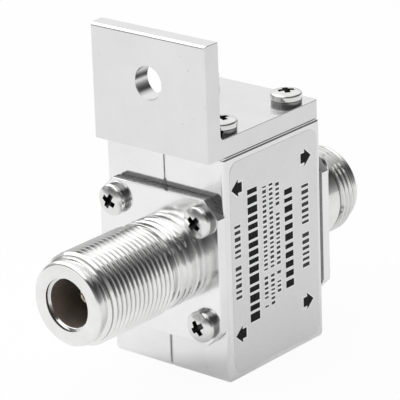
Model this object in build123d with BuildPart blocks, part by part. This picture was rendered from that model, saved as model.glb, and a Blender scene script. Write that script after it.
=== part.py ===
from build123d import *
import os
from math import sqrt

# Coaxial surge arrestor with a gas discharge tube. Millimetres, +Z up.
# The housing stands on the plane z = 0, centred on the origin. The coaxial line runs along Y:
# the antenna socket points to -Y and the equipment socket to +Y. The label is on the +X side.

# Housing, in two halves that meet on the plane x = 0
housing_width = 25.4
housing_depth = 25.2
housing_height = 39.2
outer_edge_radius = 0.8
seam_edge_chamfer = 0.35
line_height = 19.6

# Air line, chamber and pocket inside the housing
line_bore_radius = 3.5
chamber_radius = 7.8
chamber_length = 13.0
pocket_floor_height = 5.8

# Flanges, as wide as the housing, and their gaskets
flange_thickness = 1.8
flange_corner_chamfer = 2.9
flange_screw_inset = 3.57
gasket_margin = 0.3
gasket_thickness = 0.25

# Barrels: sizes of the standard N socket
thread_radius = 7.94
collar_radius = 7.75
lead_radius = 7.1
lead_chamfer = 0.45
mouth_radius = 4.55
mouth_depth = 1.2
socket_radius = 4.05
socket_depth = 9.1

# Barrel lengths, with the plain collar below the thread and the plain ring at the tip
antenna_barrel_length = 22.8
antenna_collar_length = 4.8
antenna_lead_length = 2.1
equipment_barrel_length = 15.7
equipment_collar_length = 10.2
equipment_lead_length = 1.4

# Insulators and centre contacts
insulator_radius = 5.0
contact_radius = 1.52
contact_recess = 4.9
contact_bore_radius = 0.83
contact_bore_depth = 5.5
contact_slot_width = 0.25
contact_slot_length = 3.8
contact_flat_depth = 0.3
contact_flat_length = 3.6

# Blocking capacitor between the two contacts
plate_thickness = 1.6
plate_margin = 0.4
dielectric_thickness = 0.5

# Gas discharge tube, standing in the pocket below the antenna contact, and its leaf spring
tube_radius = 4.0
tube_length = 6.0
electrode_thickness = 0.9
ceramic_step = 0.2
ceramic_bore_radius = 2.6
spring_width = 3.0
spring_thickness = 0.3
spring_half_length = 2.6
spring_bend_radius = 0.8

# Mounting bracket: an angle whose upright leg stands in front of the housing
bracket_side_margin = 0.5
bracket_thickness = 3.2
bracket_upright_height = 19.7
bracket_overhang = 0.2
bracket_inner_radius = 0.8
bracket_edge_chamfer = 0.35
bracket_corner_radius = 1.0
bracket_hole_radius = 2.8
bracket_hole_height = 11.5
bracket_hole_chamfer = 0.3
bracket_screw_spacing_x = 17.8
bracket_screw_spacing_y = 17.0

# Pan head screws on lock washers, the same everywhere
screw_head_radius = 2.7
screw_head_height = 1.5
washer_thickness = 0.5

# Label on the +X side
label_width = 22.8
label_height = 37.0
label_thickness = 0.15
label_corner_radius = 2.0

# Clearances
bore_clearance = 0.03
pin_clearance = 0.02
pocket_clearance = 0.2
dielectric_clearance = 0.2

# Values worked out from the sizes above
half_width = housing_width / 2
half_depth = housing_depth / 2
half_chamber = chamber_length / 2
half_dielectric = dielectric_thickness / 2
flange_size = housing_width
flange_screw_spacing = flange_size - 2 * flange_screw_inset
gasket_size = flange_size - 2 * gasket_margin
flange_back = half_depth + gasket_thickness
flange_face = flange_back + flange_thickness
dielectric_size = (chamber_radius - dielectric_clearance) * sqrt(2)
plate_radius = dielectric_size / 2 - plate_margin
plate_back = half_dielectric + plate_thickness
insulator_bore_radius = insulator_radius + bore_clearance
contact_hole_radius = contact_radius + pin_clearance
contact_underside = line_height - contact_radius + contact_flat_depth
pocket_radius = tube_radius + pocket_clearance
pocket_top = line_height - sqrt(chamber_radius**2 - pocket_radius**2)
tube_place = (half_chamber + plate_back) / 2
tube_top = pocket_floor_height + tube_length
ceramic_length = tube_length - 2 * electrode_thickness
bracket_width = housing_width - 2 * bracket_side_margin
bracket_front = half_depth + bracket_thickness
bracket_back = half_depth + bracket_overhang
bracket_leg_top = housing_height + bracket_thickness
bracket_top = housing_height + bracket_upright_height

# Working planes. Z of each flange plane points out of the mouth, from the centre of the flange's face.
antenna_plane = Plane(origin=(0, -flange_face, line_height), x_dir=(1, 0, 0), z_dir=(0, -1, 0))
equipment_plane = Plane(origin=(0, flange_face, line_height), x_dir=(-1, 0, 0), z_dir=(0, 1, 0))
leg_plane = Plane.XY.offset(bracket_leg_top)
line_section = Plane(origin=(0, 0, line_height), x_dir=(0, 1, 0), z_dir=(1, 0, 0))
line_axis = Axis((0, 0, line_height), (0, 1, 0))
tube_section = Plane(origin=(0, -tube_place, 0), x_dir=(1, 0, 0), z_dir=(0, -1, 0))

os.makedirs("parts", exist_ok=True)


def section_of(plane):
    """Plane through a turned piece's axis: X is the radius and Y runs along the axis."""
    return Plane(origin=plane.origin, x_dir=plane.x_dir, z_dir=plane.x_dir.cross(plane.z_dir))


def axis_of(plane):
    return Axis(plane.origin, plane.z_dir)


def flange_screw_places():
    return GridLocations(flange_screw_spacing, flange_screw_spacing, 2, 2)


def bracket_screw_places():
    return GridLocations(bracket_screw_spacing_x, bracket_screw_spacing_y, 2, 2)


# Housing: the right half is milled from a block, the left half is its mirror image

with BuildPart() as housing_right:
    with BuildSketch(Plane.XY):
        Rectangle(half_width, housing_depth, align=(Align.MIN, Align.CENTER))
    extrude(amount=housing_height)
    fillet(housing_right.edges().filter_by(lambda edge: edge.center().X > 0), outer_edge_radius)
    seam_face = housing_right.faces().sort_by(Axis.X)[0]
    chamfer(seam_face.outer_wire().edges(), seam_edge_chamfer)
    # Air line from both ends and the chamber between
    with BuildSketch(line_section):
        with BuildLine():
            Polyline(
                (-half_depth, 0),
                (-half_depth, line_bore_radius),
                (-half_chamber, line_bore_radius),
                (-half_chamber, chamber_radius),
                (half_chamber, chamber_radius),
                (half_chamber, line_bore_radius),
                (half_depth, line_bore_radius),
                (half_depth, 0),
                close=True,
            )
        make_face()
    revolve(axis=line_axis, mode=Mode.SUBTRACT)
    # Pocket for the gas tube, open to the chamber at its top
    with BuildSketch(Plane.XY.offset(pocket_floor_height)):
        with Locations((0, -tube_place)):
            Circle(pocket_radius)
    extrude(amount=pocket_top - pocket_floor_height, mode=Mode.SUBTRACT)
housing_right.part.label = "housing_right"
export_step(housing_right.part, "parts/housing_right.step")

with BuildPart() as housing_left:
    mirror(housing_right.part, about=Plane.YZ)
housing_left.part.label = "housing_left"
export_step(housing_left.part, "parts/housing_left.step")

with BuildPart() as rating_label:
    with BuildSketch(line_section.offset(half_width)):
        RectangleRounded(label_width, label_height, label_corner_radius)
    extrude(amount=label_thickness)
rating_label.part.label = "rating_label"
export_step(rating_label.part, "parts/rating_label.step")


# Mounting bracket: an extruded angle, with a hole for one mounting bolt

with BuildPart() as mounting_bracket:
    with BuildSketch(Plane.YZ):
        with BuildLine():
            Polyline(
                (-bracket_front, housing_height),
                (bracket_back, housing_height),
                (bracket_back, bracket_leg_top),
                (-half_depth, bracket_leg_top),
                (-half_depth, bracket_top),
                (-bracket_front, bracket_top),
                close=True,
            )
        make_face()
    extrude(amount=bracket_width / 2, both=True)
    cross_edges = mounting_bracket.edges().filter_by(Axis.X)
    inner_corner = cross_edges.sort_by_distance((0, -half_depth, bracket_leg_top))[0]
    fillet(inner_corner, bracket_inner_radius)
    back_corners = mounting_bracket.edges().filter_by(Axis.Z).group_by(Axis.Y)[-1]
    fillet(back_corners, bracket_corner_radius)
    front_face = mounting_bracket.faces().sort_by(Axis.Y)[0]
    chamfer(front_face.outer_wire().edges(), bracket_edge_chamfer)
    with BuildSketch(Plane.XZ.offset(bracket_front)):
        with Locations((0, housing_height + bracket_hole_height)):
            Circle(bracket_hole_radius)
    extrude(amount=-bracket_thickness, mode=Mode.SUBTRACT)
    hole_rims = mounting_bracket.edges(Select.LAST).filter_by(GeomType.CIRCLE)
    chamfer(hole_rims, bracket_hole_chamfer)
mounting_bracket.part.label = "mounting_bracket"
export_step(mounting_bracket.part, "parts/mounting_bracket.step")


# One screw on its lock washer, standing on the local plane z = 0, and the three groups of four

with BuildPart() as screw:
    Cylinder(
        screw_head_radius,
        washer_thickness + screw_head_height,
        align=(Align.CENTER, Align.CENTER, Align.MIN),
    )

with BuildPart() as antenna_flange_screws:
    with Locations(antenna_plane):
        with flange_screw_places():
            add(screw.part)
antenna_flange_screws.part.label = "antenna_flange_screws"
export_step(antenna_flange_screws.part, "parts/antenna_flange_screws.step")

with BuildPart() as equipment_flange_screws:
    with Locations(equipment_plane):
        with flange_screw_places():
            add(screw.part)
equipment_flange_screws.part.label = "equipment_flange_screws"
export_step(equipment_flange_screws.part, "parts/equipment_flange_screws.step")

with BuildPart() as bracket_screws:
    with Locations(leg_plane):
        with bracket_screw_places():
            add(screw.part)
bracket_screws.part.label = "bracket_screws"
export_step(bracket_screws.part, "parts/bracket_screws.step")


# Connectors: each has a shell, a gasket, an insulator and a centre contact on the same flange plane

def flange_gasket(plane):
    with BuildPart() as gasket:
        with BuildSketch(plane.offset(-flange_thickness - gasket_thickness)) as outline:
            Rectangle(gasket_size, gasket_size)
            chamfer(outline.vertices(), flange_corner_chamfer)
            Circle(insulator_bore_radius, mode=Mode.SUBTRACT)
        extrude(amount=gasket_thickness)
    return gasket


def connector_shell(plane, length, collar_length, lead_length):
    """Square flange and threaded barrel with its stepped bore; the thread is its outer cylinder."""
    thread_end = length - lead_length
    with BuildPart() as shell:
        with BuildSketch(plane) as outline:
            Rectangle(flange_size, flange_size)
            chamfer(outline.vertices(), flange_corner_chamfer)
        extrude(amount=-flange_thickness)
        with BuildSketch(section_of(plane)):
            with BuildLine():
                Polyline(
                    (0, 0),
                    (collar_radius, 0),
                    (collar_radius, collar_length),
                    (thread_radius, collar_length),
                    (thread_radius, thread_end - thread_radius + lead_radius),
                    (lead_radius, thread_end),
                    (lead_radius, length - lead_chamfer),
                    (lead_radius - lead_chamfer, length),
                    (0, length),
                    close=True,
                )
            make_face()
        revolve(axis=axis_of(plane))
        with BuildSketch(section_of(plane)):
            with BuildLine():
                Polyline(
                    (0, length),
                    (mouth_radius, length),
                    (mouth_radius, length - mouth_depth),
                    (socket_radius, length - mouth_depth),
                    (socket_radius, length - socket_depth),
                    (insulator_bore_radius, length - socket_depth),
                    (insulator_bore_radius, -flange_thickness),
                    (0, -flange_thickness),
                    close=True,
                )
            make_face()
        revolve(axis=axis_of(plane), mode=Mode.SUBTRACT)
    return shell


def line_insulator(plane, length):
    """Bead in the shell's back, trapped between the socket's step and the housing's face."""
    back_face = half_depth - flange_face
    with BuildPart() as insulator:
        with BuildSketch(plane.offset(back_face)):
            Circle(insulator_radius)
            Circle(contact_hole_radius, mode=Mode.SUBTRACT)
        extrude(amount=length - socket_depth - back_face)
    return insulator


def centre_contact(plane, length):
    """Rod from the capacitor plate to the socket, bored and slotted at its tip."""
    tip = length - contact_recess
    foot = plate_back - flange_face
    with BuildPart() as contact:
        with BuildSketch(section_of(plane)):
            with BuildLine():
                Polyline(
                    (0, foot),
                    (contact_radius, foot),
                    (contact_radius, tip),
                    (contact_bore_radius, tip),
                    (contact_bore_radius, tip - contact_bore_depth),
                    (0, tip - contact_bore_depth),
                    close=True,
                )
            make_face()
        revolve(axis=axis_of(plane))
        with BuildSketch(plane.offset(tip)):
            Rectangle(2 * contact_radius, contact_slot_width)
            Rectangle(contact_slot_width, 2 * contact_radius)
        extrude(amount=-contact_slot_length, mode=Mode.SUBTRACT)
    return contact


def capacitor_plate(plane):
    """Disc soldered to the foot of its contact."""
    with BuildPart() as plate:
        with BuildSketch(plane.offset(half_dielectric - flange_face)):
            Circle(plate_radius)
        extrude(amount=plate_thickness)
    return plate


antenna_gasket = flange_gasket(antenna_plane)
antenna_gasket.part.label = "antenna_gasket"
export_step(antenna_gasket.part, "parts/antenna_gasket.step")

equipment_gasket = flange_gasket(equipment_plane)
equipment_gasket.part.label = "equipment_gasket"
export_step(equipment_gasket.part, "parts/equipment_gasket.step")

antenna_connector_shell = connector_shell(
    antenna_plane, antenna_barrel_length, antenna_collar_length, antenna_lead_length
)
antenna_connector_shell.part.label = "antenna_connector_shell"
export_step(antenna_connector_shell.part, "parts/antenna_connector_shell.step")

equipment_connector_shell = connector_shell(
    equipment_plane, equipment_barrel_length, equipment_collar_length, equipment_lead_length
)
equipment_connector_shell.part.label = "equipment_connector_shell"
export_step(equipment_connector_shell.part, "parts/equipment_connector_shell.step")

antenna_insulator = line_insulator(antenna_plane, antenna_barrel_length)
antenna_insulator.part.label = "antenna_insulator"
export_step(antenna_insulator.part, "parts/antenna_insulator.step")

equipment_insulator = line_insulator(equipment_plane, equipment_barrel_length)
equipment_insulator.part.label = "equipment_insulator"
export_step(equipment_insulator.part, "parts/equipment_insulator.step")

with BuildPart() as antenna_contact:
    add(centre_contact(antenna_plane, antenna_barrel_length).part)
    # Flat on the underside for the gas tube's spring
    with BuildSketch(Plane.XY.offset(contact_underside)):
        with Locations((0, -tube_place)):
            Rectangle(2 * contact_radius, contact_flat_length)
    extrude(amount=-contact_radius, mode=Mode.SUBTRACT)
antenna_contact.part.label = "antenna_contact"
export_step(antenna_contact.part, "parts/antenna_contact.step")

equipment_contact = centre_contact(equipment_plane, equipment_barrel_length)
equipment_contact.part.label = "equipment_contact"
export_step(equipment_contact.part, "parts/equipment_contact.step")


# Blocking capacitor: a square ceramic plate between two discs

capacitor_antenna_plate = capacitor_plate(antenna_plane)
capacitor_antenna_plate.part.label = "capacitor_antenna_plate"
export_step(capacitor_antenna_plate.part, "parts/capacitor_antenna_plate.step")

capacitor_equipment_plate = capacitor_plate(equipment_plane)
capacitor_equipment_plate.part.label = "capacitor_equipment_plate"
export_step(capacitor_equipment_plate.part, "parts/capacitor_equipment_plate.step")

with BuildPart() as capacitor_dielectric:
    with BuildSketch(antenna_plane.offset(-half_dielectric - flange_face)):
        Rectangle(dielectric_size, dielectric_size)
    extrude(amount=dielectric_thickness)
capacitor_dielectric.part.label = "capacitor_dielectric"
export_step(capacitor_dielectric.part, "parts/capacitor_dielectric.step")


# Gas discharge tube: a ceramic tube between two electrodes, pressed down by a folded leaf spring

def electrode(height):
    """Disc that closes one end of the gas tube, with its underside at this height."""
    with BuildPart() as piece:
        with BuildSketch(Plane.XY.offset(height)):
            with Locations((0, -tube_place)):
                Circle(tube_radius)
        extrude(amount=electrode_thickness)
    return piece


gas_tube_ground_electrode = electrode(pocket_floor_height)
gas_tube_ground_electrode.part.label = "gas_tube_ground_electrode"
export_step(gas_tube_ground_electrode.part, "parts/gas_tube_ground_electrode.step")

gas_tube_line_electrode = electrode(tube_top - electrode_thickness)
gas_tube_line_electrode.part.label = "gas_tube_line_electrode"
export_step(gas_tube_line_electrode.part, "parts/gas_tube_line_electrode.step")

with BuildPart() as gas_tube_ceramic:
    with BuildSketch(Plane.XY.offset(pocket_floor_height + electrode_thickness)):
        with Locations((0, -tube_place)):
            Circle(tube_radius - ceramic_step)
            Circle(ceramic_bore_radius, mode=Mode.SUBTRACT)
    extrude(amount=ceramic_length)
gas_tube_ceramic.part.label = "gas_tube_ceramic"
export_step(gas_tube_ceramic.part, "parts/gas_tube_ceramic.step")

with BuildPart() as gas_tube_spring:
    spring_low = tube_top + spring_thickness / 2
    spring_high = contact_underside - spring_thickness / 2
    with BuildLine(tube_section) as spring_path:
        FilletPolyline(
            (-spring_half_length, spring_low),
            (spring_half_length, spring_low),
            (-spring_half_length, spring_high),
            (spring_half_length, spring_high),
            radius=spring_bend_radius,
        )
    spring_run = spring_path.wire()
    with BuildSketch(Plane(origin=spring_run @ 0, x_dir=(0, 1, 0), z_dir=spring_run % 0)):
        Rectangle(spring_width, spring_thickness)
    sweep(path=spring_run)
gas_tube_spring.part.label = "gas_tube_spring"
export_step(gas_tube_spring.part, "parts/gas_tube_spring.step")
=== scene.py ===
import math
import random

import bmesh
import bpy
from mathutils import Matrix, Vector


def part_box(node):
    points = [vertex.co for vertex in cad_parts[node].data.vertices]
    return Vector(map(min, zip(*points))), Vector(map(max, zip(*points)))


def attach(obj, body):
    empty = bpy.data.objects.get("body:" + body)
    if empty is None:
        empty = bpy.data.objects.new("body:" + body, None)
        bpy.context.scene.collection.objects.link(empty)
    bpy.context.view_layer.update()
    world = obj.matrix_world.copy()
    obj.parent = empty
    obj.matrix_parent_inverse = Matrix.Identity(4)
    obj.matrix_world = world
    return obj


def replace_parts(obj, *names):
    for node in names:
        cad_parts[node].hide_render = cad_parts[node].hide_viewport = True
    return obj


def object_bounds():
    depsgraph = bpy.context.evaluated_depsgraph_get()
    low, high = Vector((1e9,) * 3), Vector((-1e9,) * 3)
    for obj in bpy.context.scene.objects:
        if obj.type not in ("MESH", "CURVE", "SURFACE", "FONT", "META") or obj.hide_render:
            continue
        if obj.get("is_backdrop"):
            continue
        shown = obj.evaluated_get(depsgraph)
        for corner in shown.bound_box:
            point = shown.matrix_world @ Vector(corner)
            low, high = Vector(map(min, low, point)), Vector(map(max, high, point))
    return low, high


# The looks of a coaxial surge arrestor: an upright housing with a bracket on top, a long threaded
# socket at -Y, a short one at +Y and a label on +X. Metres, +Z up, standing on z = 0.

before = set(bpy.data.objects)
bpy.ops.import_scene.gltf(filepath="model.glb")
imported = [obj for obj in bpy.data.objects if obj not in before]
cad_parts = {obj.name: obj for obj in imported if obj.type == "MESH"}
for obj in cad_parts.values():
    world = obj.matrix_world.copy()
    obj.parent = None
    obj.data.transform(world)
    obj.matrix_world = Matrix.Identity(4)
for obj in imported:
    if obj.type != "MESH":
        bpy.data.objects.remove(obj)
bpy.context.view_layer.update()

MM = 0.001
BODY = "root"
rng = random.Random(11)

# Sizes in metres, beginning with the flanges
line_height = 19.6 * MM
flange_thickness = 1.8 * MM
flange_corner = 2.9 * MM
flange_edge = 0.14 * MM
flange_side_steps, flange_cut_steps = 14, 4
flange_screw_spacing = 18.26 * MM

# Barrels
round_segments = 144
barrel_root = 7.0 * MM
barrel_edge = 0.12 * MM
collar_foot = 0.1 * MM
thread_pitch = 25.4 / 24 * MM
thread_radius = 7.94 * MM
thread_depth = 0.60 * MM
thread_run_in = 0.45 * MM
thread_run_out = 0.9 * MM
lead_radius = 7.1 * MM
lead_groove = 0.3 * MM
relief_radius = 7.05 * MM
relief_width = 0.6 * MM
collar_radius = 7.75 * MM
tip_chamfer = 0.42 * MM
mouth_radius = 4.5 * MM
mouth_depth = 0.7 * MM
mouth_edge = 0.08 * MM
socket_radius = 4.12 * MM
socket_depth = 9.1 * MM
bead_bore_radius = 5.03 * MM
# How much of the thread's depth is reached from a crest (first) to a root (last), in equal steps
thread_form = (0.0, 0.02, 0.26, 0.5, 0.74, 0.98, 1.0)
rows_per_turn = 2 * (len(thread_form) - 1)
# Rows near a root, whose faces are painted darker: painted shade in the thread's grooves
shaded_root_rows = range(len(thread_form) - 3, len(thread_form) + 1)

# Foot and tip of each barrel. A groove's place is a share of its collar's length
antenna_collar = 4.2 * MM
antenna_grooves = (0.32, 0.66)
antenna_lead = 2.1 * MM
equipment_collar = 9.6 * MM
equipment_lead = 1.4 * MM
groove_half_width = 0.28 * MM
groove_depth = 0.38 * MM

# Screws and washers. A crown's slope is in degrees, at its rim. The cutter of a recess stands above
# the crown and narrows to a share of its size. A washer turns this many times as far as its screw
head_radius = 2.7 * MM
head_edge = 0.12 * MM
head_shoulder = 0.45 * MM
head_segments = 56
shoulder_steps, crown_steps = 6, 8
flange_head_side = 0.25 * MM
bracket_head_side = 0.75 * MM
flange_crown_slope = 28
bracket_crown_slope = 16
recess_span = 3.1 * MM
recess_width = 1.08 * MM
recess_depth = 0.95 * MM
recess_floor_share = 0.5
cutter_rise = 0.3 * MM
cutter_top_share = 1.06
washer_outer = 2.6 * MM
washer_inner = 1.6 * MM
washer_height = 0.72 * MM
washer_edge = 0.06 * MM
washer_gap = math.radians(14)
washer_rise = 0.01 * MM
washer_steps = 72
washer_turn = 3.1

# Bracket
bracket_spacing_x = 17.8 * MM
bracket_spacing_y = 17.0 * MM
bracket_edge = 0.12 * MM
bracket_round = 0.55 * MM
bracket_fillet = 0.8 * MM
bracket_corner = 0.6 * MM
bracket_hole_radius = 2.8 * MM
bracket_hole_height = 11.5 * MM
foot_cutter_size = 100 * MM

# Contacts. The gap between two fingers is in degrees, to each side of its middle
lip_outer, lip_inner = 1.53 * MM, 0.82 * MM
lip_rise, lip_sink = 0.3 * MM, 0.1 * MM
lip_gap = 8
lip_steps = 12
# Radius up to which the contact is painted near black, as painted shade in its bore, and from which it
# is gold
bore_shade_until, gold_from = 0.88 * MM, 1.0 * MM

# Housing and the bead in its seam
housing_round = 0.8 * MM
housing_top_round = 0.5 * MM
seam_width = 0.2 * MM
seam_end = 0.8 * MM
seam_steps = 40
seam_bulge = 0.3
seam_spread = (0.85, 1.1)

# Label
film_thickness = 0.045 * MM
ink_lift = 0.012 * MM
halo_lift = 0.006 * MM

# Closer than these, two places count as the same. No ring is narrower than a hair
hair = 0.001 * MM
same_place = 0.01 * MM
weld_distance = 0.0008 * MM


def place(origin, x_dir, z_dir):
    """Matrix that puts a piece's own X and Z along these directions, at this origin."""
    x, z = Vector(x_dir).normalized(), Vector(z_dir).normalized()
    y = z.cross(x)
    return Matrix.Translation(Vector(origin)) @ Matrix((x, y, z)).transposed().to_4x4()


shell_low, shell_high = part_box("antenna_connector_shell")
back_low, back_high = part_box("equipment_connector_shell")
bracket_low, bracket_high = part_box("mounting_bracket")
label_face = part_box("rating_label")[0].x + film_thickness
antenna_face_y = shell_high.y - flange_thickness
equipment_face_y = back_low.y + flange_thickness
antenna_length = antenna_face_y - shell_low.y
equipment_length = back_high.y - equipment_face_y
flange_size = shell_high.z - shell_low.z
antenna_place = place((0, antenna_face_y, line_height), (1, 0, 0), (0, -1, 0))
equipment_place = place((0, equipment_face_y, line_height), (-1, 0, 0), (0, 1, 0))
leg_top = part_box("bracket_screws")[0].z


# Materials

def grey(value):
    return (value, value, value)


def ramp_node(tree, source, stops):
    """Colours or greys at these places along the source's value."""
    made = tree.nodes.new("ShaderNodeValToRGB")
    band = made.color_ramp
    while len(band.elements) < len(stops):
        band.elements.new(0.5)
    for element, (position, colour) in zip(band.elements, stops):
        element.position = position
        element.color = (*(colour if isinstance(colour, tuple) else grey(colour)), 1)
    tree.links.new(source, made.inputs["Fac"])
    return made.outputs["Color"]


def mix_node(tree, factor, a, b):
    """The first colour where the factor is 0 and the second where it is 1."""
    made = tree.nodes.new("ShaderNodeMix")
    made.data_type = "RGBA"
    # A colour mix takes its factor in input 0 and its colours in inputs 6 and 7
    for source, slot in ((factor, 0), (a, 6), (b, 7)):
        if isinstance(source, (int, float)):
            made.inputs[slot].default_value = source
        elif isinstance(source, tuple):
            made.inputs[slot].default_value = (*source, 1)
        else:
            tree.links.new(source, made.inputs[slot])
    return made.outputs[2]


class Paint:
    """A node material that is built up from one Principled shader."""

    def __init__(self, name, **sockets):
        self.material = bpy.data.materials.new(name)
        self.material.use_nodes = True
        self.tree = self.material.node_tree
        self.tree.nodes.clear()
        out = self.node("ShaderNodeOutputMaterial")
        self.shader = self.node("ShaderNodeBsdfPrincipled")
        self.link(self.shader.outputs[0], out.inputs["Surface"])
        for socket, value in sockets.items():
            self.shader.inputs[socket.replace("_", " ")].default_value = value
        self.where = self.node("ShaderNodeTexCoord").outputs["Object"]

    def node(self, kind, **values):
        made = self.tree.nodes.new(kind)
        for key, value in values.items():
            setattr(made, key, value)
        return made

    def link(self, a, b):
        self.tree.links.new(a, b)

    def stretched(self, scale):
        """The object's coordinates, stretched by these factors."""
        mapping = self.node("ShaderNodeMapping")
        mapping.inputs["Scale"].default_value = scale
        self.link(self.where, mapping.inputs["Vector"])
        return mapping.outputs[0]

    def noise(self, scale, detail, rough=0.55, where=None):
        made = self.node("ShaderNodeTexNoise")
        made.inputs["Scale"].default_value = scale
        made.inputs["Detail"].default_value = detail
        made.inputs["Roughness"].default_value = rough
        self.link(where or self.where, made.inputs["Vector"])
        return made.outputs["Fac"]

    def ramp(self, source, *stops):
        return ramp_node(self.tree, source, stops)

    def mix(self, factor, a, b):
        return mix_node(self.tree, factor, a, b)

    def bump(self, height, distance, strength):
        made = self.node("ShaderNodeBump")
        made.inputs["Strength"].default_value = strength
        made.inputs["Distance"].default_value = distance
        self.link(height, made.inputs["Height"])
        self.link(made.outputs[0], self.shader.inputs["Normal"])

    def colour(self, source):
        self.link(source, self.shader.inputs["Base Color"])

    def roughness(self, source):
        self.link(source, self.shader.inputs["Roughness"])


speck_darkness = 0.62


def satin_metal(name, dark, light, rough, speck, grain=(1, 1, 1)):
    """Milled metal with a fine grain, faint clouds and small dull specks."""
    paint = Paint(name, Metallic=1.0)
    clouds = paint.noise(120, detail=4, rough=0.6)
    tint = paint.ramp(clouds, (0.32, dark), (0.68, light))
    fine = paint.noise(2600, detail=2, rough=0.6, where=paint.stretched(grain))
    specks = paint.ramp(paint.noise(1300, detail=1, rough=0.5), (0.72, 0.0), (0.80, speck))
    paint.colour(paint.mix(specks, tint, tuple(value * speck_darkness for value in dark)))
    paint.roughness(paint.ramp(fine, (0.3, rough - 0.03), (0.7, rough + 0.05)))
    paint.bump(fine, 0.004 * MM, strength=0.25)
    return paint.material


housing_paint = satin_metal("satin_housing", grey(0.82), grey(0.88), rough=0.11, speck=0.15)
bracket_paint = satin_metal(
    "satin_bracket", grey(0.75), grey(0.79), rough=0.17, speck=0.3, grain=(1, 0.12, 0.12)
)
flange_paint = satin_metal("satin_flange", grey(0.86), grey(0.90), rough=0.13, speck=0.15)


def bright_plate(name, dark, light, rough, metallic=1.0):
    """Turned and plated metal: fine rings about the piece's own Z, with soft stains."""
    paint = Paint(name, Metallic=metallic)
    stains = paint.noise(260, detail=4, rough=0.6)
    paint.colour(paint.ramp(stains, (0.3, dark), (0.7, light)))
    rings = paint.noise(1800, detail=2, rough=0.5, where=paint.stretched((0.06, 0.06, 1)))
    paint.roughness(paint.ramp(stains, (0.3, rough + 0.05), (0.7, rough)))
    paint.bump(rings, 0.004 * MM, strength=0.4)
    return paint.material


connector_paint = bright_plate("nickel_connector", (0.80, 0.80, 0.795), (0.88, 0.88, 0.875), rough=0.12)
# Painted shade: the thread's roots are painted darker than its crests
root_shade_paint = bright_plate("thread_root_shade", (0.36, 0.36, 0.355), (0.48, 0.48, 0.475), rough=0.2)
screw_paint = bright_plate("plated_screws", (0.74, 0.74, 0.735), (0.84, 0.84, 0.835), rough=0.17)
# Painted shade: the cross recess is painted near black
recess_shade_paint = bright_plate("screw_recess_shade", grey(0.04), grey(0.09), rough=0.35)
# Painted shade: the washers are painted dark, for the shade under the screw heads
washer_shade_paint = bright_plate("washers_painted_shade", grey(0.22), (0.36, 0.36, 0.355), rough=0.28)
halo_paint = bright_plate("label_halo", grey(0.97), grey(1.0), rough=0.38, metallic=0.8)
plate_paint = bright_plate("turned_plate", (0.62, 0.50, 0.28), (0.76, 0.64, 0.38), rough=0.25)
electrode_paint = bright_plate("electrode_metal", (0.56, 0.55, 0.53), (0.70, 0.69, 0.66), rough=0.3)
spring_paint = bright_plate("spring_strip", (0.60, 0.47, 0.25), (0.76, 0.62, 0.36), rough=0.24)


def contact_metal():
    """Gold plate outside and painted shade, near black, in the bore, by the distance from the line's
    axis.
    """
    paint = Paint("gold_contact_bore_shade", Metallic=0.5)
    across = paint.node("ShaderNodeMapping")
    across.inputs["Location"].default_value = (0, 0, -line_height)
    across.inputs["Scale"].default_value = (1, 0, 1)
    paint.link(paint.where, across.inputs["Vector"])
    radius = paint.node("ShaderNodeVectorMath", operation="LENGTH")
    paint.link(across.outputs[0], radius.inputs[0])
    gold_share = paint.node("ShaderNodeMapRange")
    gold_share.inputs["From Min"].default_value = bore_shade_until
    gold_share.inputs["From Max"].default_value = gold_from
    paint.link(radius.outputs["Value"], gold_share.inputs["Value"])
    stains = paint.noise(260, detail=4, rough=0.6)
    gold = paint.ramp(stains, (0.3, (0.98, 0.86, 0.62)), (0.7, (1.0, 0.94, 0.78)))
    # Painted shade: near black in the bore
    bore_shade = paint.ramp(stains, (0.3, (0.03, 0.02, 0.012)), (0.7, (0.06, 0.04, 0.025)))
    paint.colour(paint.mix(gold_share.outputs["Result"], bore_shade, gold))
    paint.roughness(paint.ramp(stains, (0.3, 0.29), (0.7, 0.24)))
    rings = paint.noise(1800, detail=2, rough=0.5, where=paint.stretched((1, 0.1, 1)))
    paint.bump(rings, 0.004 * MM, strength=0.4)
    return paint.material


def label_film():
    """Grey metallised film: matte, very finely grained, with soft patches."""
    paint = Paint("label_film", Metallic=0.8)
    patches = paint.noise(90, detail=3, rough=0.5)
    tint = paint.ramp(patches, (0.3, 0.86), (0.7, 0.90))
    grain = paint.noise(3200, detail=2, rough=0.5, where=paint.stretched((1, 0.3, 1)))
    paint.colour(paint.mix(0.12, tint, paint.ramp(grain, (0.35, 0.68), (0.65, 0.92))))
    paint.roughness(paint.ramp(grain, (0.3, 0.34), (0.7, 0.44)))
    paint.bump(grain, 0.003 * MM, strength=0.4)
    return paint.material


def dull(name, dark, light, rough, scale, height, shine=0.5):
    """Matte moulded or fired stuff with a fine uneven surface, its height in millimetres."""
    paint = Paint(name, Specular_IOR_Level=shine)
    cloud = paint.noise(scale, detail=4, rough=0.6)
    paint.colour(paint.ramp(cloud, (0.3, dark), (0.7, light)))
    paint.roughness(paint.ramp(cloud, (0.3, rough + 0.06), (0.7, rough - 0.04)))
    paint.bump(paint.noise(scale * 6, detail=2), height * MM, strength=0.5)
    return paint.material


contact_paint = contact_metal()
label_paint = label_film()
# Painted shade: the socket's inside is painted dull dark brown, not the barrel's nickel
socket_shade_paint = dull(
    "socket_bore_shade", (0.16, 0.15, 0.145), (0.33, 0.25, 0.19), rough=0.3, scale=150, height=0.004
)
ink_paint = dull(
    "label_ink", (0.006, 0.006, 0.007), (0.014, 0.014, 0.015),
    rough=0.5, scale=900, height=0.004, shine=0.12,
)
grey_ink_paint = dull(
    "label_grey_ink", (0.05, 0.05, 0.052), (0.09, 0.09, 0.092),
    rough=0.5, scale=900, height=0.004, shine=0.2,
)
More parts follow.
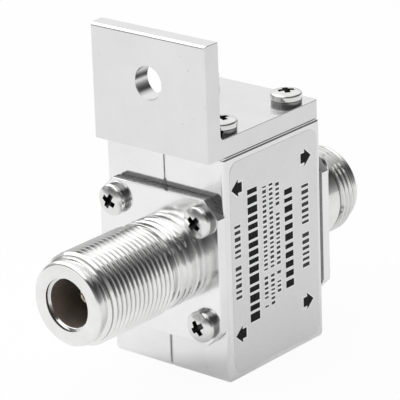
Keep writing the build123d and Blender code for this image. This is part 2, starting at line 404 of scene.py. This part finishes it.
# Painted shade: the bead at the bottom of the socket is painted dark brown in place of its own white
bead_shade_paint = dull(
    "bead_painted_shade", (0.20, 0.17, 0.14), (0.30, 0.26, 0.22), rough=0.45, scale=300, height=0.01
)
# Painted light: the gaskets are painted lighter than their own dark grey, so the shade in their crevice
# shows less
gasket_light_paint = dull("gasket_painted_light", grey(0.46), grey(0.54), rough=0.7, scale=500, height=0.02)
seam_paint = dull("seam_sealant", grey(0.20), grey(0.30), rough=0.5, scale=500, height=0.01)
dielectric_paint = dull(
    "fired_plate", (0.76, 0.70, 0.60), (0.86, 0.81, 0.71), rough=0.5, scale=500, height=0.01
)
ceramic_paint = dull(
    "alumina_tube", (0.86, 0.85, 0.82), (0.94, 0.93, 0.90), rough=0.4, scale=500, height=0.01
)

# Paints of the solids that are shown as they are
carried_over = {
    "antenna_gasket": gasket_light_paint,
    "equipment_gasket": gasket_light_paint,
    "antenna_insulator": bead_shade_paint,
    "equipment_insulator": bead_shade_paint,
    "antenna_contact": contact_paint,
    "equipment_contact": contact_paint,
    "capacitor_antenna_plate": plate_paint,
    "capacitor_equipment_plate": plate_paint,
    "capacitor_dielectric": dielectric_paint,
    "gas_tube_ceramic": ceramic_paint,
    "gas_tube_line_electrode": electrode_paint,
    "gas_tube_ground_electrode": electrode_paint,
    "gas_tube_spring": spring_paint,
}
for node, paint in carried_over.items():
    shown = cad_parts[node]
    shown.data.materials.clear()
    shown.data.materials.append(paint)


# Helpers for meshes and objects

def mesh_of(name, bm):
    mesh = bpy.data.meshes.new(name)
    bm.to_mesh(mesh)
    bm.free()
    return mesh


def clean_mesh(name, bm):
    """A mesh from this bmesh, with no double points and every face turned outwards."""
    bmesh.ops.remove_doubles(bm, verts=bm.verts, dist=weld_distance)
    bmesh.ops.dissolve_degenerate(bm, edges=bm.edges, dist=weld_distance)
    bmesh.ops.recalc_face_normals(bm, faces=bm.faces)
    return mesh_of(name, bm)


def add_object(name, data):
    """A new object of the scene."""
    made = bpy.data.objects.new(name, data)
    bpy.context.scene.collection.objects.link(made)
    return made


def join_rows(bm, rows, closed=False):
    """Faces between each row of points and the next. A closed row is joined all the way round."""
    for lower, upper in zip(rows, rows[1:]):
        for i in range(len(lower) if closed else len(lower) - 1):
            j = (i + 1) % len(lower)
            bm.faces.new((lower[i], lower[j], upper[j], upper[i]))


def enclose_rows(bm, rows):
    """Faces round a solid through these closed rows of points, with both ends filled."""
    join_rows(bm, rows, True)
    bm.faces.new(rows[0])
    bm.faces.new(list(reversed(rows[-1])))
    bmesh.ops.recalc_face_normals(bm, faces=bm.faces)


def finish_mesh(name, bm, matrix, paints, sharp=32):
    """Make a smooth object of this bmesh at its place, and let it ride on the body."""
    mesh = clean_mesh(name, bm)
    smooth(mesh, sharp)
    return put(name, mesh, matrix, paints)


def smooth(mesh, sharp=38):
    """Smooth shading, with edges sharper than this many degrees kept crisp."""
    for face in mesh.polygons:
        face.use_smooth = True
    mesh.set_sharp_from_angle(angle=math.radians(sharp))


def put(name, mesh, matrix, paints):
    """An object that shows this mesh at its place and rides on the body."""
    made = add_object(name, mesh)
    made.matrix_world = matrix
    if not mesh.materials:
        for paint in paints:
            mesh.materials.append(paint)
    bpy.context.view_layer.update()
    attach(made, BODY)
    return made


def grid_of(rows, closed_rows, helix=None, row_paints=None):
    """A bmesh from rows of points, each row a ring.

    In helix, a row that climbs one turn is given with the row whose first point closes it.
    In row_paints, a row is given with the number of the paint for the faces that start there.
    """
    bm = bmesh.new()
    made = [[bm.verts.new(point) for point in row] for row in rows]
    closing = [made[(helix or {}).get(k, k)][0] for k in range(len(rows))]
    for k in range(len(rows) if closed_rows else len(rows) - 1):
        after = (k + 1) % len(rows)
        low, high = made[k] + [closing[k]], made[after] + [closing[after]]
        for i in range(len(low) - 1):
            corners = list(dict.fromkeys((low[i], low[i + 1], high[i + 1], high[i])))
            if len(corners) > 2:
                bm.faces.new(corners).material_index = (row_paints or {}).get(k, 0)
    return bm


def ring(radius, height, count=round_segments):
    turn = math.tau / count
    return [(radius * math.cos(i * turn), radius * math.sin(i * turn), height) for i in range(count)]


# Threaded barrels

def thread_rows(start, end):
    """Rings that climb the helix by one pitch a turn, held between the two ends of the thread."""
    rows = []
    turns = math.ceil((end - start) / thread_pitch) + 2
    slope = thread_radius - lead_radius
    half_turn = rows_per_turn // 2
    for k in range(turns * rows_per_turn + 1):
        from_crest = abs((k + half_turn) % rows_per_turn - half_turn)
        form_radius = thread_radius - thread_depth * thread_form[from_crest]
        row = []
        for i in range(round_segments):
            share = i / round_segments
            height = start + (k / rows_per_turn - 1 + share) * thread_pitch
            radius = min(form_radius, lead_radius + (end - height) / thread_run_out * slope)
            radius = min(radius, relief_radius + (height - start) / thread_run_in * slope)
            if height <= start:
                radius = relief_radius
            elif height >= end:
                radius = lead_radius
            turn = math.tau * share
            row.append((radius * math.cos(turn), radius * math.sin(turn), min(max(height, start), end)))
        rows.append(row)
    return rows


def barrel(name, matrix, length, collar, lead, grooves, node):
    """Tube with collar, relief, helical thread, lead ring, mouth and stepped socket."""
    edge = barrel_edge
    # From the flange's back over the collar and its grooves to the relief before the thread
    outside = [
        (bead_bore_radius, -flange_thickness),
        (barrel_root, -flange_thickness),
        (barrel_root, 0),
        (collar_radius - collar_foot, 0),
        (collar_radius, collar_foot),
    ]
    for share in grooves:
        middle = collar * share
        outside += [
            (collar_radius, middle - groove_half_width - edge),
            (collar_radius - edge * 0.5, middle - groove_half_width),
            (collar_radius - groove_depth, middle),
            (collar_radius - edge * 0.5, middle + groove_half_width),
            (collar_radius, middle + groove_half_width + edge),
        ]
    outside += [
        (collar_radius, collar - edge),
        (collar_radius - edge, collar),
        (relief_radius, collar + edge),
        (relief_radius, collar + relief_width - edge),
    ]
    rows = [ring(*point) for point in outside]
    climbing = thread_rows(collar + relief_width, length - lead)
    first, last = len(rows), len(rows) + len(climbing) - 1
    helix = {k: min(k + rows_per_turn, last) for k in range(first, last + 1)}
    rows += climbing
    # From the thread over the lead ring and its rounded chamfer to the mouth's edge
    soft = tip_chamfer * 0.3
    face = [
        (lead_radius - lead_groove, length - lead + edge),
        (lead_radius - lead_groove, length - lead + edge * 3),
        (lead_radius - edge * 0.5, length - lead + edge * 4),
        (lead_radius, length - lead + edge * 5),
        (lead_radius, length - tip_chamfer - soft * 0.4),
        (lead_radius - soft * 0.3, length - tip_chamfer + soft * 0.4),
        (lead_radius - tip_chamfer + soft * 0.4, length - soft * 0.3),
        (lead_radius - tip_chamfer - soft * 0.6, length),
        (mouth_radius + mouth_edge, length),
        (mouth_radius + mouth_edge * 0.3, length - mouth_edge * 0.3),
    ]
    mouth = [
        (mouth_radius, length - mouth_edge),
        (mouth_radius, length - mouth_depth),
        (socket_radius + mouth_edge, length - mouth_depth),
    ]
    socket = [
        (socket_radius, length - mouth_depth - mouth_edge),
        (socket_radius, length - socket_depth),
        (bead_bore_radius, length - socket_depth),
    ]
    rows += [ring(*point) for point in face + mouth + socket]
    paints = (connector_paint, socket_shade_paint, root_shade_paint)
    # The socket's rows take the socket's painted shade
    row_paints = {k: 1 for k in range(len(rows) - len(socket), len(rows))}
    # Rows near each thread root take the roots' painted shade
    row_paints.update({k: 2 for k in range(first, last) if (k - first) % rows_per_turn in shaded_root_rows})
    tube = grid_of(rows, True, helix, row_paints)
    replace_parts(finish_mesh(name, tube, matrix, paints, sharp=40), node)


def cut_square(inset, height):
    """Points round the flange's outline, this far inside it."""
    half = flange_size / 2 - inset
    straight = flange_size / 2 - flange_corner - inset * (math.sqrt(2) - 1)
    corner = [(half, -straight), (half, straight), (straight, half), (-straight, half)]
    corner += [(-x, -y) for x, y in corner]
    points = []
    for number, ((ax, ay), (bx, by)) in enumerate(zip(corner, corner[1:] + corner[:1])):
        steps = flange_cut_steps if number % 2 else flange_side_steps
        for i in range(steps):
            points.append((ax + (bx - ax) * i / steps, ay + (by - ay) * i / steps, height))
    return points


def flange_plate(name, matrix, node):
    """Square plate with cut corners and the barrel's hole, its edges rounded a little."""
    angles = [math.atan2(y, x) for x, y, _ in cut_square(0, 0)]
    rows = []
    for height in (-flange_thickness, 0):
        rows.append([(barrel_root * math.cos(a), barrel_root * math.sin(a), height) for a in angles])
    border = flange_edge * 1.2
    rows.append(cut_square(border, 0))
    for degrees in (0, 22.5, 45, 67.5, 90):
        turn = math.radians(degrees)
        rows.append(cut_square(flange_edge * (1 - math.sin(turn)), -flange_edge * (1 - math.cos(turn))))
    rows += [cut_square(0, -flange_thickness), cut_square(border, -flange_thickness)]
    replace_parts(finish_mesh(name, grid_of(rows, True), matrix, (flange_paint,)), node)


ends = (
    ("antenna", antenna_place, antenna_length, antenna_collar, antenna_lead, antenna_grooves),
    ("equipment", equipment_place, equipment_length, equipment_collar, equipment_lead, ()),
)
for side, matrix, length, collar, lead, grooves in ends:
    barrel(f"{side}_barrel", matrix, length, collar, lead, grooves, f"{side}_connector_shell")
    flange_plate(f"{side}_flange", matrix, f"{side}_connector_shell")


def contact_lip(name, node, way):
    """Rounded front end of a contact's four spring fingers."""
    bm = bmesh.new()
    low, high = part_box(node)
    tip = low.y if way < 0 else high.y
    middle_radius, half = (lip_outer + lip_inner) / 2, (lip_outer - lip_inner) / 2
    for quarter in range(4):
        rows = []
        for step in range(lip_steps + 1):
            turn = math.radians(90 * quarter + lip_gap + (90 - 2 * lip_gap) * step / lip_steps)
            row = []
            for degrees in range(0, 181, 20):
                bend = math.radians(degrees)
                radius = middle_radius + half * math.cos(bend)
                ahead = tip + way * (lip_rise * math.sin(bend) - lip_sink)
                point = (radius * math.cos(turn), ahead, line_height + radius * math.sin(turn))
                row.append(bm.verts.new(point))
            rows.append(row)
        join_rows(bm, rows)
        for end in (rows[0], rows[-1]):
            bm.faces.new(end)
    finish_mesh(name, bm, Matrix.Identity(4), (contact_paint,), sharp=50)


contact_lip("antenna_contact_lip", "antenna_contact", -1)
contact_lip("equipment_contact_lip", "equipment_contact", 1)


# Housing halves, the bead in their seam, and bracket

def housing_half(name, node):
    """The half's own mesh, with its upper outer edges drawn out to a smaller rounding."""
    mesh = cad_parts[node].data.copy()
    mesh.name = name
    mesh.materials.clear()
    low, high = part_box(node)
    flat_x = max(abs(low.x), abs(high.x)) - housing_round
    flat_y, round_start = high.y - housing_round, high.z - housing_round
    for vertex in mesh.vertices:
        x, y, z = vertex.co
        beyond = Vector((abs(x) - flat_x, abs(y) - flat_y))
        if z < round_start - hair or max(beyond) < -hair:
            continue
        rise = min(max((z - round_start) / housing_round, 0.0), 1.0)
        way = Vector((max(beyond.x, 0.0), max(beyond.y, 0.0)))
        if way.length < hair:
            way = Vector((float(beyond.x > -hair), float(beyond.y > -hair)))
        way.normalize()
        shift = (housing_round - housing_top_round) * (1 - math.sqrt(1 - rise * rise))
        vertex.co = (
            x + math.copysign(way.x * shift, x),
            y + math.copysign(way.y * shift, y),
            high.z - housing_top_round * (1 - rise),
        )
    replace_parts(put(name, mesh, Matrix.Identity(4), (housing_paint,)), node)


def bracket_block():
    """Extruded angle with rounded corners, made a little too deep for its foot to be cut level later."""
    inner_y = bracket_low.y + leg_top - bracket_low.z
    foot = bracket_low.z - 3 * bracket_edge
    profile = [(bracket_low.y, foot), (bracket_high.y, foot), (bracket_high.y, leg_top)]
    for degrees in range(0, 91, 15):
        turn = math.radians(degrees)
        ahead = inner_y + bracket_fillet * (1 - math.sin(turn))
        profile.append((ahead, leg_top + bracket_fillet * (1 - math.cos(turn))))
    profile += [(inner_y, bracket_high.z), (bracket_low.y, bracket_high.z)]
    bm = bmesh.new()
    sides = (bracket_low.x, bracket_high.x)
    enclose_rows(bm, [[bm.verts.new((x, y, z)) for y, z in profile] for x in sides])

    def edges_on(y, along):
        """Edges at this Y that run along this axis."""
        return [edge for edge in bm.edges if all(abs(v.co.y - y) < same_place for v in edge.verts)
                and all(abs(edge.verts[0].co[k] - edge.verts[1].co[k]) < same_place
                        for k in range(3) if k != along)]

    def rounded(edges, radius, segments):
        bmesh.ops.bevel(bm, geom=edges, offset=radius, segments=segments, profile=0.5, affect="EDGES")

    along_x, along_z = 0, 2
    rounded(edges_on(bracket_high.y, along_z), bracket_corner, 6)
    top_edge = [edge for edge in edges_on(bracket_low.y, along_x) if edge.verts[0].co.z > leg_top]
    rounded(edges_on(bracket_low.y, along_z) + top_edge, bracket_round, 5)
    return mesh_of("bracket_block", bm)


def bracket_piece():
    """The bracket with its hole cut, its edges softened and its foot cut level."""
    hole = bmesh.new()
    bmesh.ops.create_cone(hole, cap_ends=True, segments=64, radius1=bracket_hole_radius,
                          radius2=bracket_hole_radius, depth=4 * bracket_hole_radius)
    hole_place = place((0, bracket_low.y, bracket_low.z + bracket_hole_height), (1, 0, 0), (0, -1, 0))
    foot = bmesh.new()
    bmesh.ops.create_cube(foot, size=foot_cutter_size)
    foot_place = Matrix.Translation((0, 0, bracket_low.z - foot_cutter_size / 2))
    mesh = carved(bracket_block(), "bracket", (mesh_of("hole_cutter", hole), hole_place), bracket_edge,
                  (mesh_of("foot_cutter", foot), foot_place))
    made = put("bracket", mesh, Matrix.Identity(4), (bracket_paint,))
    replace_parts(made, "mounting_bracket")


def carved(mesh, name, cutter, soft_edge=0.0, last_cutter=None):
    """The mesh without a cutter's shape. With a soft edge it is softened, then cut with the last cutter.

    A cutter is a mesh and its place.
    """
    body = add_object(name, mesh)
    tools = []

    def cut_away(tool):
        made = add_object("cutter", tool[0])
        made.matrix_world = tool[1]
        tools.append(made)
        cut = body.modifiers.new("cut", "BOOLEAN")
        cut.operation = "DIFFERENCE"
        cut.solver = "EXACT"
        cut.object = made

    cut_away(cutter)
    if soft_edge:
        soften = body.modifiers.new("soften", "BEVEL")
        soften.width = soft_edge
        soften.segments = 4
        soften.limit_method = "ANGLE"
        soften.angle_limit = math.radians(40)
        soften.use_clamp_overlap = False
        for face in mesh.polygons:
            face.use_smooth = True
        if last_cutter:
            cut_away(last_cutter)
        body.modifiers.new("flats", "WEIGHTED_NORMAL").keep_sharp = True
    bpy.context.view_layer.update()
    graph = bpy.context.evaluated_depsgraph_get()
    result = bpy.data.meshes.new_from_object(body.evaluated_get(graph))
    result.name = name
    for made in (body, *tools):
        bpy.data.objects.remove(made)
    return result


def seam_bead(name, y, way):
    """Thin half-round bead of sealant in the seam between the halves, from bottom to top."""
    bm = bmesh.new()
    low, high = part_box("housing_right")
    rows = []
    for step in range(seam_steps + 1):
        height = low.z + seam_end + (high.z - low.z - 2 * seam_end) * step / seam_steps
        wide = seam_width * rng.uniform(*seam_spread) / 2
        row = []
        for degrees in range(0, 181, 30):
            turn = math.radians(degrees)
            point = (wide * math.cos(turn), y + way * wide * seam_bulge * math.sin(turn), height)
            row.append(bm.verts.new(point))
        rows.append(row)
    join_rows(bm, rows)
    finish_mesh(name, bm, Matrix.Identity(4), (seam_paint,))


seam_bead("seam_bead_front", -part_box("housing_right")[1].y, -1)
seam_bead("seam_bead_back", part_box("housing_right")[1].y, 1)
housing_half("housing_right_half", "housing_right")
housing_half("housing_left_half", "housing_left")
bracket_piece()


# Screws and split washers

def head_profile(head_side, crown_slope):
    """Radius and height of points along a pan head, from the middle of its underside to its crown."""
    base = washer_height
    side_top = base + head_side
    profile = [(0.0, base), (head_radius - head_edge, base), (head_radius, base + head_edge)]
    profile.append((head_radius, side_top))
    for step in range(1, shoulder_steps + 1):
        turn = math.radians((90 - crown_slope) * step / shoulder_steps)
        radius = head_radius - head_shoulder * (1 - math.cos(turn))
        profile.append((radius, side_top + head_shoulder * math.sin(turn)))
    crown_radius, crown_foot = profile[-1]
    widest = math.radians(crown_slope)
    dome = crown_radius / math.sin(widest)
    top = crown_foot + dome * (1 - math.cos(widest))
    for step in range(1, crown_steps + 1):
        turn = widest * (1 - step / crown_steps)
        profile.append((dome * math.sin(turn), top - dome * (1 - math.cos(turn))))
    return profile


def screw_mesh(name, head_side, crown_slope):
    """Pan head with a cross recess cut into its crown, underside at the washer's top."""
    profile = head_profile(head_side, crown_slope)
    rings = [ring(max(radius, hair), height, head_segments) for radius, height in profile]
    head = clean_mesh("screw_blank", grid_of(rings, False))
    top = profile[-1][1]
    a, b = recess_width / 2, recess_span / 2
    quarter = [(b, -a), (b, a), (a, a)]
    plus = []
    for _ in range(4):
        plus += quarter
        quarter = [(-y, x) for x, y in quarter]
    bm = bmesh.new()
    levels = ((top + cutter_rise, cutter_top_share), (top - recess_depth, recess_floor_share))
    enclose_rows(bm, [[bm.verts.new((x * part, y * part, z)) for x, y in plus] for z, part in levels])
    # The recess's faces take the second paint, its painted shade
    for face in bm.faces:
        face.material_index = 1
    cutter = mesh_of("recess_cutter", bm)
    for mesh in (head, cutter):
        mesh.materials.append(screw_paint)
        mesh.materials.append(recess_shade_paint)
    mesh = carved(head, name, (cutter, Matrix.Identity(4)))
    smooth(mesh)
    return mesh


def washer_mesh():
    """Square-section ring with a slanted split and slightly risen end."""
    bm = bmesh.new()
    section = (
        (washer_inner, 0.0),
        (washer_outer - washer_edge, 0.0),
        (washer_outer, washer_edge),
        (washer_outer, washer_height - washer_edge),
        (washer_outer - washer_edge, washer_height),
        (washer_inner, washer_height),
    )
    rows = []
    for i in range(washer_steps + 1):
        share = i / washer_steps
        lift = washer_rise * (share - 0.5)
        row = []
        for radius, height in section:
            slant = washer_gap * 0.5 * (height / washer_height - 0.5)
            turn = washer_gap / 2 + (math.tau - washer_gap) * share + slant
            point = (radius * math.cos(turn), radius * math.sin(turn), max(height + lift, 0.0))
            row.append(bm.verts.new(point))
        rows.append(row)
    enclose_rows(bm, rows)
    mesh = mesh_of("split_washer", bm)
    smooth(mesh)
    return mesh


def corners(spacing_x, spacing_y):
    return [(sx * spacing_x / 2, sy * spacing_y / 2) for sx in (-1, 1) for sy in (-1, 1)]


flange_screw = screw_mesh("flange_pan_head", flange_head_side, flange_crown_slope)
bracket_screw = screw_mesh("bracket_pan_head", bracket_head_side, bracket_crown_slope)
washer = washer_mesh()
washer.materials.append(washer_shade_paint)
leg_place = place((0, 0, leg_top), (1, 0, 0), (0, 0, 1))
flange_corners = corners(flange_screw_spacing, flange_screw_spacing)
bracket_corners = corners(bracket_spacing_x, bracket_spacing_y)
# Each group's screw, its place, the screws' places in it and their turns in degrees
screw_groups = (
    ("antenna_flange_screws", flange_screw, antenna_place, flange_corners, (20, 62, 35, 50)),
    ("equipment_flange_screws", flange_screw, equipment_place, flange_corners, (12, 70, 40, 81)),
    ("bracket_screws", bracket_screw, leg_place, bracket_corners, (35, 15, 75, 52)),
)
for node, screw, matrix, places, turns in screw_groups:
    for number, ((x, y), turn) in enumerate(zip(places, turns), 1):
        here = matrix @ Matrix.Translation((x, y, 0)) @ Matrix.Rotation(math.radians(turn), 4, "Z")
        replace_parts(put(f"{node}_{number}", screw, here, (screw_paint,)), node)
        spun = here @ Matrix.Rotation(math.radians(turn * washer_turn), 4, "Z")
        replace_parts(put(f"{node}_washer_{number}", washer, spun, (washer_shade_paint,)), node)


# Label: thin film with a print of plain bars and arrows

def label_piece():
    """The label's own mesh, pressed down to a thin film."""
    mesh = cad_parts["rating_label"].data.copy()
    mesh.name = "label_film"
    mesh.materials.clear()
    for vertex in mesh.vertices:
        vertex.co.x = min(vertex.co.x, label_face)
    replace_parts(put("label_film", mesh, Matrix.Identity(4), (label_paint,)), "rating_label")


def flat_shapes(name, shapes, lift, paint):
    """Thin flat shapes on the label's face, given in the label's Y and Z in millimetres."""
    bm = bmesh.new()
    for shape in shapes:
        bm.faces.new([bm.verts.new((lift, y * MM, z * MM)) for y, z in shape])
    put(name, mesh_of(name, bm), Matrix.Translation((label_face, 0, 0)), (paint,))


def block(y0, y1, z0, z1, grow=0.0):
    low, high = (y0 - grow, z0 - grow), (y1 + grow, z1 + grow)
    return [low, (high[0], low[1]), high, (low[0], high[1])]


def arrow(y, z, way, grow=0.0):
    """Chunky arrow, way is +1 for +Y."""
    length, width, stem, neck = 1.35 + grow, 1.5 + grow, 0.85 + grow, -0.35
    upper = [(neck, width), (neck, stem), (-length, stem)]
    lower = [(along, -across) for along, across in reversed(upper)]
    return [(y + way * along, z + across) for along, across in [(length, 0)] + upper + lower]


# Columns of bars in millimetres: low and high Y, low and high Z, a bar's length and the gap after it,
# and whether the bars are grey
columns = (
    (-10.6, -9.1, 14.3, 27.2, 0.55, 0.50, True),
    (-7.1, -4.6, 9.1, 32.4, 1.15, 0.48, False),
    (-3.2, -2.25, 10.4, 31.8, 0.42, 0.42, True),
    (-1.5, -0.55, 10.4, 31.8, 0.42, 0.42, True),
    (0.2, 1.15, 10.4, 31.8, 0.42, 0.42, True),
    (2.5, 4.6, 12.0, 30.6, 0.95, 0.62, False),
    (7.1, 8.9, 13.0, 29.2, 0.55, 0.50, True),
)
# Each arrow's middle in Y and Z, and its way
arrows = ((-9.75, 33.5, -1), (8.4, 33.6, 1), (-9.6, 7.9, -1), (8.4, 7.85, 1))
shortest_bar = 0.2
bar_spread = (0.7, 1.35)
share_left_out = 0.1
bar_halo, arrow_halo = 0.2, 0.3
bars, grey_bars, halos = [], [], []
for low, high, start, end, bar, gap, is_grey in columns:
    at = start
    while at < end:
        long = min(bar * rng.uniform(*bar_spread), end - at)
        if rng.random() > share_left_out and long > shortest_bar:
            (grey_bars if is_grey else bars).append(block(low, high, at, at + long))
            halos.append(block(low, high, at, at + long, bar_halo))
        at += long + gap
for y, z, way in arrows:
    bars.append(arrow(y, z, way))
    halos.append(arrow(y, z, way, arrow_halo))
label_piece()
flat_shapes("label_bars", bars, ink_lift, ink_paint)
flat_shapes("label_grey_bars", grey_bars, ink_lift, grey_ink_paint)
flat_shapes("label_halos", halos, halo_lift, halo_paint)


# Floor, light and camera

def math_node(tree, operation, *inputs):
    """The result of this operation. An input is a number or what another node gives."""
    made = tree.nodes.new("ShaderNodeMath")
    made.operation = operation
    for slot, source in zip(made.inputs, inputs):
        if isinstance(source, (int, float)):
            slot.default_value = source
        else:
            tree.links.new(source, slot)
    return made.outputs[0]


def share_towards(tree, source, way):
    """How far a place or a direction reaches along this way."""
    made = tree.nodes.new("ShaderNodeVectorMath")
    made.operation = "DOT_PRODUCT"
    made.inputs[1].default_value = way
    tree.links.new(source, made.inputs[0])
    return made.outputs["Value"]


def direction(azimuth, elevation=0.0):
    flat = math.cos(elevation)
    return Vector((math.cos(azimuth) * flat, math.sin(azimuth) * flat, math.sin(elevation)))


def glow_along(tree, azimuth, span, stops):
    """Grey values by a point's distance along this way over the floor."""
    where = tree.nodes.new("ShaderNodeNewGeometry").outputs["Position"]
    spread = tree.nodes.new("ShaderNodeMapRange")
    spread.inputs["From Min"].default_value, spread.inputs["From Max"].default_value = span
    tree.links.new(share_towards(tree, where, direction(azimuth)), spread.inputs["Value"])
    return ramp_node(tree, spread.outputs["Result"], stops)


def floor_material():
    """White floor that keeps the object's shadow, shows mostly white to camera rays, and shows mirror
    rays a glow that holds a painted shadow near the object.
    """
    material = bpy.data.materials.new("studio_floor")
    material.use_nodes = True
    tree = material.node_tree
    tree.nodes.clear()
    diffuse = tree.nodes.new("ShaderNodeBsdfDiffuse")
    diffuse.inputs["Color"].default_value = (*grey(floor_grey), 1)
    glow = tree.nodes.new("ShaderNodeEmission")
    rays = tree.nodes.new("ShaderNodeLightPath").outputs
    near = glow_along(tree, near_azimuth, near_span, near_glow)
    far = glow_along(tree, far_azimuth, far_span, far_glow)
    mirrored = math_node(tree, "MULTIPLY", rays["Is Glossy Ray"], math_node(tree, "MAXIMUM", near, far))
    share = mirrored
    for ray in ("Is Camera Ray", "Is Transmission Ray"):
        shown = math_node(tree, "MULTIPLY", rays[ray], floor_whiteness)
        share = math_node(tree, "MAXIMUM", share, shown)
    mix = tree.nodes.new("ShaderNodeMixShader")
    for source, slot in zip((share, diffuse.outputs[0], glow.outputs[0]), mix.inputs):
        tree.links.new(source, slot)
    out = tree.nodes.new("ShaderNodeOutputMaterial")
    tree.links.new(mix.outputs[0], out.inputs["Surface"])
    return material


def floor_sheet():
    """Large flat sheet just below the object."""
    bm = bmesh.new()
    half = floor_size / 2
    corner_points = ((-half, -half, 0), (half, -half, 0), (half, half, 0), (-half, half, 0))
    bm.faces.new([bm.verts.new(point) for point in corner_points])
    mesh = mesh_of("floor", bm)
    mesh.materials.append(floor_material())
    made = add_object("floor", mesh)
    made.location = (0, 0, -floor_drop)
    made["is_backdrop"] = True


floor_size = 4
floor_drop = 0.02 * MM
floor_grey = 0.90
floor_whiteness = 0.95

# Where the floor's glow in the object's mirror-like faces changes, near the object and far behind it
# on the left: the way over the floor, the distances at which the glow starts and ends, and its levels.
# The dip in the near glow is a painted shadow of the object, and the far glow a painted pool of light.
near_azimuth = math.radians(49.5)
near_span = (-24 * MM, 12 * MM)
near_glow = ((0.0, 0.78), (0.22, 0.7), (0.39, 0.34), (0.67, 0.26), (1.0, 0.46))
far_azimuth = math.radians(134)
far_span = (40 * MM, 80 * MM)
far_glow = ((0.0, 0.0), (1.0, 0.86))
floor_sheet()

# The room: brightness by the sine of the elevation, towards the window and everywhere else
window_direction = direction(math.radians(140), math.radians(45))
window_edge = ((0.52, 0.0), (0.86, 1.0))
window_sky = ((0.0, 0.94), (0.2, 0.94), (0.34, 0.98), (0.47, 1.02), (1.0, 1.0))
room_sky = (
    (0.0, 0.45), (0.1, 0.34), (0.22, 0.19), (0.34, 0.12),
    (0.5, 0.05), (0.64, 0.06), (0.76, 0.22), (1.0, 1.0),
)


def studio_sky():
    """Dim room with a wide bright window on one side and a bright ceiling."""
    world = bpy.data.worlds.new("studio")
    bpy.context.scene.world = world
    world.use_nodes = True
    sky = world.node_tree
    sky.nodes.clear()
    where = sky.nodes.new("ShaderNodeTexCoord").outputs["Generated"]
    split = sky.nodes.new("ShaderNodeSeparateXYZ")
    sky.links.new(where, split.inputs[0])
    towards_window = share_towards(sky, where, window_direction)
    in_window = ramp_node(sky, towards_window, window_edge)
    room = ramp_node(sky, split.outputs["Z"], room_sky)
    window = ramp_node(sky, split.outputs["Z"], window_sky)
    glow = sky.nodes.new("ShaderNodeBackground")
    sky.links.new(mix_node(sky, in_window, room, window), glow.inputs["Color"])
    out = sky.nodes.new("ShaderNodeOutputWorld")
    sky.links.new(glow.outputs[0], out.inputs["Surface"])


studio_sky()


def softbox(name, azimuth, elevation, distance, size, watts):
    """Rectangular lamp at this azimuth and elevation in degrees, turned to the object."""
    way = direction(math.radians(azimuth), math.radians(elevation))
    lamp = bpy.data.lights.new(name, "AREA")
    lamp.shape = "RECTANGLE"
    lamp.size, lamp.size_y = size
    lamp.energy = watts
    made = add_object(name, lamp)
    made.location = lamps_aim + way * distance
    made.rotation_euler = (-way).to_track_quat("-Z", "Y").to_euler()


lamps_aim = Vector((0, -4 * MM, 28 * MM))
softbox("key", azimuth=-140, elevation=54, distance=0.6, size=(1.2, 0.58), watts=2.7)
softbox("side", azimuth=-148, elevation=19, distance=0.8, size=(0.28, 0.28), watts=0.1)

# The camera: its angles, its distance, its lens, and how far right and up the middle of its view is
camera_azimuth = math.radians(40.461)
camera_elevation = math.radians(20.512)
camera_roll = math.radians(-2.011)
camera_distance = 468.5 * MM
camera_lens = 252
sensor_width = 36
look_right = -2.57 * MM
look_up = 25.92 * MM
right = direction(camera_azimuth)
back = direction(camera_azimuth - math.radians(90), camera_elevation)
up = back.cross(right)
turned_right = right * math.cos(camera_roll) + up * math.sin(camera_roll)
turned_up = up * math.cos(camera_roll) - right * math.sin(camera_roll)
camera_data = bpy.data.cameras.new("camera")
camera_data.lens = camera_lens
camera_data.sensor_width = sensor_width
camera_data.clip_start = 10 * MM
camera = add_object("camera", camera_data)
spot = right * look_right + Vector((0, 0, look_up)) + back * camera_distance
turned = Matrix((turned_right, turned_up, back)).transposed().to_4x4()
camera.matrix_world = Matrix.Translation(spot) @ turned
bpy.context.scene.camera = camera
bpy.context.scene.view_settings.view_transform = "Standard"

bpy.context.view_layer.update()
low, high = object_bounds()
